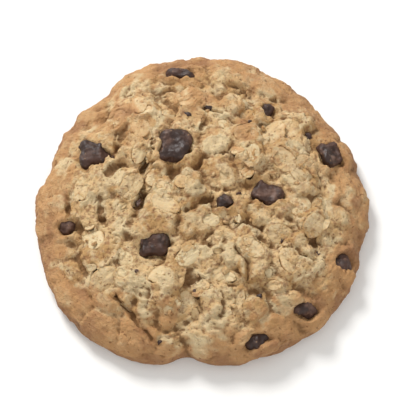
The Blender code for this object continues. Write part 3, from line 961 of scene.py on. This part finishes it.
def chocolate_piece(name, finish):
    """A piece of chocolate on its solid: the same block or ball, remeshed fine, melted soft and dented."""
    piece = into_scene(f"chocolate_{name}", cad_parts[name].data.copy())
    remesh = piece.modifiers.new("fine mesh", "REMESH")
    remesh.mode = "VOXEL"
    remesh.voxel_size = CHOCOLATE_VOXEL
    soften = piece.modifiers.new("softened", "SMOOTH")
    soften.factor, soften.iterations = MELTED
    mesh = bpy.data.meshes.new_from_object(piece.evaluated_get(bpy.context.evaluated_depsgraph_get()))
    piece.modifiers.clear()
    piece.data = mesh
    normals = vertex_normals(mesh)
    points = np.array([vertex.co for vertex in mesh.vertices])
    dents = sum(depth * shaken(points, width * MM) for width, depth in CHOCOLATE_DENTS) - CHOCOLATE_SHRUNK
    put_points(mesh, points + normals * dents[:, None] * MM)
    mesh.shade_smooth()
    mesh.materials.clear()
    mesh.materials.append(finish)
    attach(piece, "root")
    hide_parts(name)


# ---------------------------------------------------------------- finishes


def linear(hex_colour):
    """A colour as the shaders take it, from its sRGB hex value."""
    parts = [int(hex_colour[start : start + 2], 16) / 255 for start in (1, 3, 5)]
    return (*((part / 12.92 if part <= 0.04045 else ((part + 0.055) / 1.055) ** 2.4) for part in parts), 1.0)


def add(tree, kind, settings, output=0):
    """Adds a node with its settings, by property or socket, and with links from the sockets among them. It
    gives the output that is used."""
    node = tree.nodes.new(kind)
    for key, value in settings.items():
        if isinstance(value, bpy.types.NodeSocket):
            tree.links.new(value, node.inputs[key])
        elif isinstance(key, str) and hasattr(node, key):
            setattr(node, key, value)
        else:
            node.inputs[key].default_value = value
    return node.outputs[output] if node.outputs else None


# A colour mix node's sockets, by number because its names repeat
SHARE, UNDER, OVER, MIXED = 0, 6, 7, 2


def started(name):
    """A material with nothing in it yet, and its node tree."""
    material = bpy.data.materials.new(name)
    material.use_nodes = True
    material.node_tree.nodes.clear()
    return material, material.node_tree


def surfaced(tree, settings):
    """Ends a material with its shader."""
    shader = add(tree, "ShaderNodeBsdfPrincipled", settings)
    add(tree, "ShaderNodeOutputMaterial", {"Surface": shader})


def spots(size):
    """The scale of a noise whose spots are about this wide, in metres."""
    return 1 / (2 * size)


def covered(tree, under, over, amount, span, most=1.0):
    """One colour over another: none where an amount is at the start of its span, and this much at the end."""
    low, high = span
    share = add(tree, "ShaderNodeMapRange", {
        "interpolation_type": "SMOOTHSTEP", "Value": amount, "From Min": low, "From Max": high, "To Max": most
    })
    return add(tree, "ShaderNodeMix", {"data_type": "RGBA", SHARE: share, UNDER: under, OVER: over}, MIXED)


def spotted(tree, place, under, over, size, span, most=1.0, detail=3.0, roughness=0.5):
    """One colour over another in spots about this wide."""
    pattern = add(tree, "ShaderNodeTexNoise", {
        "Vector": place, "Scale": spots(size), "Detail": detail, "Roughness": roughness,
    })
    return covered(tree, under, over, pattern, span, most)


def crumb_colour(tree, place):
    """The crumb under everything: golden and tan in patches 5 mm wide, with pale starchy spots of 1.4 mm and
    dark grain of 0.6 mm. The real grain is finer than the picture can show, so this one is drawn coarser."""
    tan, gold = linear(TAN_DOUGH), linear(GOLDEN_DOUGH)
    golden = spotted(tree, place, tan, gold, 5 * MM, (0.40, 0.58), roughness=0.6)
    starchy = spotted(tree, place, golden, linear(PALE_DOUGH), 1.4 * MM, (0.46, 0.68), 0.75, 4.0, 0.62)
    return spotted(tree, place, starchy, linear(DARK_CRUST), 0.6 * MM, (0.50, 0.34), 0.6)


def crust_colour(tree, place, browning, under):
    """Browned crust over a colour, by how far it browned: caramel, darker in patches 3 mm wide, broken up in
    spots 1.6 mm wide, with bran flecks of 0.5 mm over all."""
    mottle, broken = (
        add(tree, "ShaderNodeTexNoise", {
            "Vector": place, "Scale": spots(size), "Detail": 4.0, "Roughness": roughness
        })
        for size, roughness in ((3 * MM, 0.6), (1.6 * MM, 0.65))
    )
    scorched = add(tree, "ShaderNodeMath", {"operation": "MULTIPLY_ADD", 0: browning, 1: 0.3, 2: mottle})
    crust = covered(tree, linear(CARAMEL_CRUST), linear(DARK_CRUST), scorched, (0.68, 0.98), 0.8)
    uneven = add(tree, "ShaderNodeMath", {"operation": "MULTIPLY_ADD", 0: broken, 1: 1.6, 2: -0.75})
    reached = add(tree, "ShaderNodeMath", {"operation": "ADD", 0: browning, 1: uneven})
    crusted = covered(tree, under, crust, reached, (0.1, 0.95), 0.9)
    return spotted(tree, place, crusted, linear(BRAN_FLECK), 0.5 * MM, (0.66, 0.74), 0.65, detail=1.0)


def baked_skin(tree, colour, height, depth):
    """The dull, open surface of baked dough: bump of one depth, and light that goes about 1 mm in."""
    surfaced(tree, {
        "Base Color": colour,
        "Normal": add(tree, "ShaderNodeBump", {"Strength": 0.9, "Distance": depth, "Height": height}),
        "Roughness": 0.75,
        "Specular IOR Level": 0.3,
        "Subsurface Weight": 0.1,
        "Subsurface Radius": (1.0, 0.55, 0.28),
        "Subsurface Scale": 1.0 * MM,
    })


def baked_dough_finish():
    """Baked oat dough: dull and open, golden on the lumps, paler where it is thin over the oats, caramel at
    the rim and underneath, and darkened down in the gaps by painted shade. Its bump is grit of 0.9 mm and
    crumb of 0.35 mm. The real crumb is finer than the picture can show, so this one is drawn coarser."""
    material, tree = started("baked oat dough")
    place = add(tree, "ShaderNodeTexCoord", {}, "Object")
    oats, browning, narrow_hollow, wide_hollow = (
        add(tree, "ShaderNodeAttribute", {"attribute_name": name}, "Fac")
        for name in ("oats", "browning", "narrow_hollow", "wide_hollow")
    )
    film, crumb, grit = (
        add(tree, "ShaderNodeTexNoise", {
            "Vector": place, "Scale": spots(size), "Detail": detail, "Roughness": roughness
        })
        for size, detail, roughness in ((1.2 * MM, 3.0, 0.5), (0.35 * MM, 4.0, 0.62), (0.9 * MM, 2.0, 0.5))
    )
    thin = add(tree, "ShaderNodeMath", {"operation": "MULTIPLY_ADD", 0: film, 1: 0.8, 2: oats})
    with_oats = covered(tree, crumb_colour(tree, place), linear(PALE_OAT), thin, (0.4, 1.3), 0.7)
    less_on_oats = add(tree, "ShaderNodeMath", {"operation": "MULTIPLY_ADD", 0: oats, 1: -0.45, 2: browning})
    crusted = crust_colour(tree, place, less_on_oats, with_oats)
    # painted shade: the colour is darkened in narrow and wide hollows, where shade falls
    crack_shaded = covered(tree, crusted, linear(HOLLOW_SHADE_BROWN), narrow_hollow, (0.15, 0.95), 0.75)
    colour = covered(tree, crack_shaded, linear(HOLLOW_SHADE_BROWN), wide_hollow, (0.15, 0.95), 0.65)
    height = add(tree, "ShaderNodeMath", {"operation": "MULTIPLY_ADD", 0: grit, 1: 1.3, 2: crumb})
    baked_skin(tree, colour, height, 0.65 * MM)
    return material


def toasted_oat_finish():
    """Toasted rolled oat: matt and straw-like, streaked along the flake, browner at its edge, under a coat of
    dough that is broken up in spots 1.8 mm wide. Its streaks are 1 mm by 0.25 mm. Real fibres are finer than
    the picture can show, so these are drawn coarser."""
    material, tree = started("toasted rolled oat")
    place = add(tree, "ShaderNodeTexCoord", {}, "Object")
    leaf = add(tree, "ShaderNodeAttribute", {"attribute_name": "leaf"}, "Vector")
    along = add(tree, "ShaderNodeVectorMath", {"operation": "MULTIPLY", 0: leaf, 1: (0.5, 2.2, 1.0)})
    fibre = add(tree, "ShaderNodeTexNoise", {"Vector": along, "Scale": 1.0, "Detail": 3.0})
    tone, edge, browning = (
        add(tree, "ShaderNodeAttribute", {"attribute_name": name}, "Fac")
        for name in ("tone", "edge", "browning")
    )
    straw = add(tree, "ShaderNodeMath", {"operation": "MULTIPLY", 0: tone, 1: fibre})
    toasted = add(tree, "ShaderNodeMapRange", {
        "Value": straw, "From Min": 0.0, "From Max": 0.5, "To Min": 0.25, "To Max": 0.95,
    })
    crumb = crumb_colour(tree, place)
    streaked = add(tree, "ShaderNodeMix", {
        "data_type": "RGBA", SHARE: toasted, UNDER: crumb, OVER: linear(PALE_OAT),
    }, MIXED)
    edged = covered(tree, streaked, linear(TAN_DOUGH), edge, (0.84, 1.0), 0.75)
    film = add(tree, "ShaderNodeTexNoise", {
        "Vector": place, "Scale": spots(1.8 * MM), "Detail": 4.0, "Roughness": 0.65,
    })
    coat = add(tree, "ShaderNodeMapRange", {
        "interpolation_type": "SMOOTHSTEP", "Value": film, "From Min": 0.52, "From Max": 0.60, "To Max": 0.9,
    })
    coated = add(tree, "ShaderNodeMix", {"data_type": "RGBA", SHARE: coat, UNDER: edged, OVER: crumb}, MIXED)
    colour = crust_colour(tree, place, browning, coated)
    grit = add(tree, "ShaderNodeTexNoise", {"Vector": place, "Scale": spots(0.5 * MM), "Detail": 4.0})
    dough = add(tree, "ShaderNodeMath", {"operation": "MULTIPLY_ADD", 0: coat, 1: 0.6, 2: grit})
    height = add(tree, "ShaderNodeMath", {"operation": "MULTIPLY_ADD", 0: fibre, 1: 0.5, 2: dough})
    baked_skin(tree, colour, height, 0.4 * MM)
    return material


def chocolate_finish():
    """Dark chocolate, chopped, softened in the oven and set again: satin where it melted, dull and browner on
    the broken faces, with a greyish bloom in patches 1.6 mm wide and crumbs of 0.4 mm stuck to it."""
    material, tree = started("dark chocolate")
    place = add(tree, "ShaderNodeTexCoord", {}, "Object")
    faces = add(tree, "ShaderNodeTexNoise", {"Vector": place, "Scale": spots(2.2 * MM), "Detail": 3.0})
    broken = covered(tree, linear(DARK_CHOCOLATE), linear(BROKEN_CHOCOLATE), faces, (0.42, 0.60))
    bloomed = spotted(tree, place, broken, linear(BLOOM), 1.6 * MM, (0.52, 0.70), 0.75, 5.0, 0.6)
    dull = add(tree, "ShaderNodeMapRange", {
        "Value": faces, "From Min": 0.35, "From Max": 0.65, "To Min": 0.42, "To Max": 0.68,
    })
    pores = add(tree, "ShaderNodeTexNoise", {
        "Vector": place, "Scale": spots(0.5 * MM), "Detail": 4.0, "Roughness": 0.65,
    })
    dusted = spotted(tree, place, bloomed, linear(TAN_DOUGH), 0.4 * MM, (0.68, 0.74), 0.5, detail=2.0)
    surfaced(tree, {
        "Base Color": dusted,
        "Normal": add(tree, "ShaderNodeBump", {"Strength": 0.6, "Distance": 0.3 * MM, "Height": pores}),
        "Roughness": dull,
        "Specular IOR Level": 0.4,
    })
    return material


def plain_floor_finish():
    """A plain pale studio floor, matt."""
    material, tree = started("pale studio floor")
    surfaced(tree, {"Base Color": linear(FLOOR_WHITE), "Roughness": 0.9})
    return material


# ---------------------------------------------------------------- the picture


def stage_floor():
    builder = bmesh.new()
    bmesh.ops.create_grid(builder, x_segments=1, y_segments=1, size=FLOOR_REACH)
    mesh = bpy.data.meshes.new("floor")
    builder.to_mesh(mesh)
    builder.free()
    mesh.materials.append(plain_floor_finish())
    floor = into_scene("floor", mesh)
    floor.location.z = -FLOOR_DROP


def aim(piece, target):
    piece.rotation_euler = (target - piece.location).to_track_quat("-Z", "Y").to_euler()


def soft_light(name, place, size, power, target):
    lamp = bpy.data.lights.new(name, "AREA")
    lamp.shape = "DISK"
    lamp.size = size
    lamp.energy = power
    light = into_scene(name, lamp)
    light.location = place
    aim(light, target)


def studio():
    """The lights, the white room round them and the camera."""
    middle = Vector((0, 0, CENTRE_HEIGHT / 2))
    soft_light("key_from_upper_left", *KEY_LIGHT, middle)
    soft_light("fill_from_front", *FILL_LIGHT, middle)
    world = bpy.data.worlds.new("white room")
    world.use_nodes = True
    world.node_tree.nodes["Background"].inputs["Color"].default_value = (1, 1, 1, 1)
    world.node_tree.nodes["Background"].inputs["Strength"].default_value = ROOM_LIGHT
    bpy.context.scene.world = world
    bpy.context.scene.view_settings.view_transform = "Standard"

    lens = bpy.data.cameras.new("camera")
    lens.sensor_width = SENSOR
    lens.sensor_fit = "HORIZONTAL"
    lens.lens = SENSOR * CAMERA_DISTANCE / (DIAMETER / COOKIE_SHARE_OF_WIDTH)
    lens.clip_start = NEAREST_SEEN
    camera = into_scene("camera", lens)
    tilt = math.radians(CAMERA_ELEVATION)
    camera.location = middle + Vector((0, -math.cos(tilt), math.sin(tilt))) * CAMERA_DISTANCE
    aim(camera, middle)
    bpy.context.scene.camera = camera


# ---------------------------------------------------------------- the cookie


def box_shift(chocolate):
    """How far the solids were moved to centre their box, read from the first chunk's place in the frame."""
    name, size, _, _, top = chocolate[0]
    low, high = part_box(name)
    shift = (Vector(low) + Vector(high)) / 2 - top @ Vector((0, 0, -size.z / 2))
    return Vector((shift.x, shift.y, 0))


def show(mesh, finish, shift):
    """A piece of the dough or its oats, moved as the solids are so that the cookie's box is centred."""
    mesh.transform(Matrix.Translation(shift))
    mesh.materials.append(finish)
    piece = into_scene(mesh.name, mesh)
    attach(piece, "root")
    return piece


def cookie():
    """The whole cookie: where its flakes, crumbs and chocolate lie, then its pieces with their finishes."""
    tree = solid_form()
    chocolate = chocolate_places(tree)
    shift = box_shift(chocolate)
    draw = random.Random(LOOSE_SEED)
    loose = []
    buried = []
    for flake in flake_places(tree, chocolate):
        lies_loose = draw.random() < LOOSE_SHARE and flake.radius_share < LOOSE_WITHIN
        (loose if lies_loose else buried).append(flake)
    small, under_skin, specks = (
        scattered_places(tree, chocolate, *kind) for kind in (SMALL_FLAKES, BURIED_FLAKES, SPECKS)
    )
    loose += [flake for flake in small if flake.radius_share < LOOSE_WITHIN]
    specks = [speck for speck in specks if speck.radius_share < LOOSE_WITHIN]

    dough_finish = baked_dough_finish()
    body = show(fine_dough(buried + under_skin, loose, chocolate), dough_finish, shift)
    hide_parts("baked_oat_dough")
    show(rolled_oats(loose), toasted_oat_finish(), shift)
    show(crumbs(specks), dough_finish, shift)
    chocolate_look = chocolate_finish()
    for name in CHOCOLATE:
        chocolate_piece(name, chocolate_look)
    show(chocolate_chips(tree), chocolate_look, shift)


cookie()
stage_floor()
studio()
